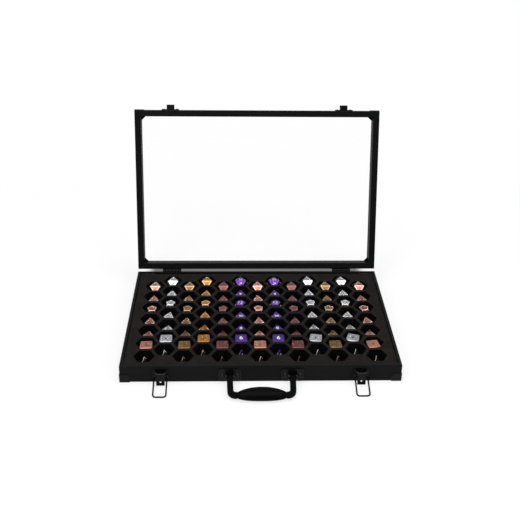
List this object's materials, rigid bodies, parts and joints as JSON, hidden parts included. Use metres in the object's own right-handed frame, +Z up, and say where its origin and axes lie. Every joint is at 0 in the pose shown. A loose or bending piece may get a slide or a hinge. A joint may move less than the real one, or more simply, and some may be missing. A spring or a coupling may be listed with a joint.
{
  "type": "dice display case",
  "caption": "Shallow hinged display case with a clear lid, a carrying handle, draw latches and staggered hexagonal foam pockets that hold polyhedral dice sets.",
  "frame": {"origin": "centre of the base's flat underside, on the surface that the case stands on", "axes": "+Z up, +X to the right along the case seen from the front, -Y towards the front with the handle and latches; the lid is open and leans back over +Y"},
  "size_m": [0.3364, 0.3485, 0.2403],
  "materials": {
    "black_rail": "satin",
    "base_board": "matte",
    "black_foam": "matte",
    "clear_window": "gloss",
    "raw_aluminium": "satin",
    "black_plastic": "satin",
    "handle_plastic": "gloss",
    "bright_steel": "polished",
    "black_hardware": "gloss",
    "dice_copper": "polished",
    "dice_silver": "polished",
    "dice_antique_gold": "satin",
    "dice_gold": "polished",
    "dice_rose": "polished",
    "dice_purple": "gloss",
    "dice_rose_gold": "polished"
  },
  "bodies": {
    "base": {"base_rail_front": "black_rail", "base_rail_rear": "black_rail", "base_rail_left": "black_rail", "base_rail_right": "black_rail", "base_panel": "base_board", "base_corner_keys": "raw_aluminium", "base_corner_guards": "black_hardware", "foam_liner": "black_foam", "foam_grid": "black_foam", "dice_set_01": "dice_copper", "dice_set_02": "dice_silver", "dice_set_03": "dice_antique_gold", "dice_set_04": "dice_gold", "dice_set_05": "dice_rose", "dice_set_06": "dice_purple", "dice_set_07": "dice_rose_gold", "dice_set_08": "dice_purple", "dice_set_09": "dice_rose", "dice_set_10": "dice_silver", "dice_set_11": "dice_antique_gold", "dice_set_12": "dice_silver", "dice_set_13": "dice_copper", "left_hinge_base_leaf": "black_hardware", "right_hinge_base_leaf": "black_hardware", "left_hinge_pin": "black_hardware", "right_hinge_pin": "black_hardware", "base_hinge_rivets": "black_hardware", "left_latch_plate": "black_hardware", "right_latch_plate": "black_hardware", "left_latch_pin": "black_hardware", "right_latch_pin": "black_hardware", "latch_rivets": "black_hardware", "left_handle_bracket": "black_hardware", "right_handle_bracket": "black_hardware", "handle_pins": "black_hardware", "handle_screws": "bright_steel"},
    "lid": {"lid_rail_front": "black_rail", "lid_rail_rear": "black_rail", "lid_rail_left": "black_rail", "lid_rail_right": "black_rail", "lid_window": "clear_window", "lid_corner_keys": "raw_aluminium", "lid_corner_clips": "black_plastic", "lid_corner_guards": "black_hardware", "left_hinge_lid_leaf": "black_hardware", "right_hinge_lid_leaf": "black_hardware", "lid_hinge_rivets": "black_hardware", "left_keeper": "black_hardware", "right_keeper": "black_hardware", "keeper_rivets": "black_hardware"},
    "handle": {"handle": "handle_plastic"},
    "left_lever": {"left_latch_lever": "black_hardware"},
    "right_lever": {"right_latch_lever": "black_hardware"},
    "left_bail": {"left_latch_bail": "black_hardware"},
    "right_bail": {"right_latch_bail": "black_hardware"}
  },
  "joints": [
    {"name": "lid_hinge", "type": "hinge", "parent": "base", "child": "lid", "pos_m": [0, 0.1125, 0.0237], "axis": [-1, 0, 0], "range_deg": [-107.6, 0]},
    {"name": "handle_swing", "type": "hinge", "parent": "base", "child": "handle", "pos_m": [0, -0.1157, 0.0106], "axis": [-1, 0, 0], "range_deg": [-75, 94]},
    {"name": "left_lever_pivot", "type": "hinge", "parent": "base", "child": "left_lever", "pos_m": [-0.119, -0.1151, 0.0152], "axis": [-1, 0, 0], "range_deg": [0, 120]},
    {"name": "left_bail_swing", "type": "hinge", "parent": "left_lever", "child": "left_bail", "pos_m": [-0.119, -0.1146, 0.0097], "axis": [1, 0, 0], "range_deg": [-109.17, 70]},
    {"name": "right_lever_pivot", "type": "hinge", "parent": "base", "child": "right_lever", "pos_m": [0.119, -0.1151, 0.0152], "axis": [-1, 0, 0], "range_deg": [0, 120]},
    {"name": "right_bail_swing", "type": "hinge", "parent": "right_lever", "child": "right_bail", "pos_m": [0.119, -0.1146, 0.0097], "axis": [1, 0, 0], "range_deg": [-109.17, 70]}
  ]
}
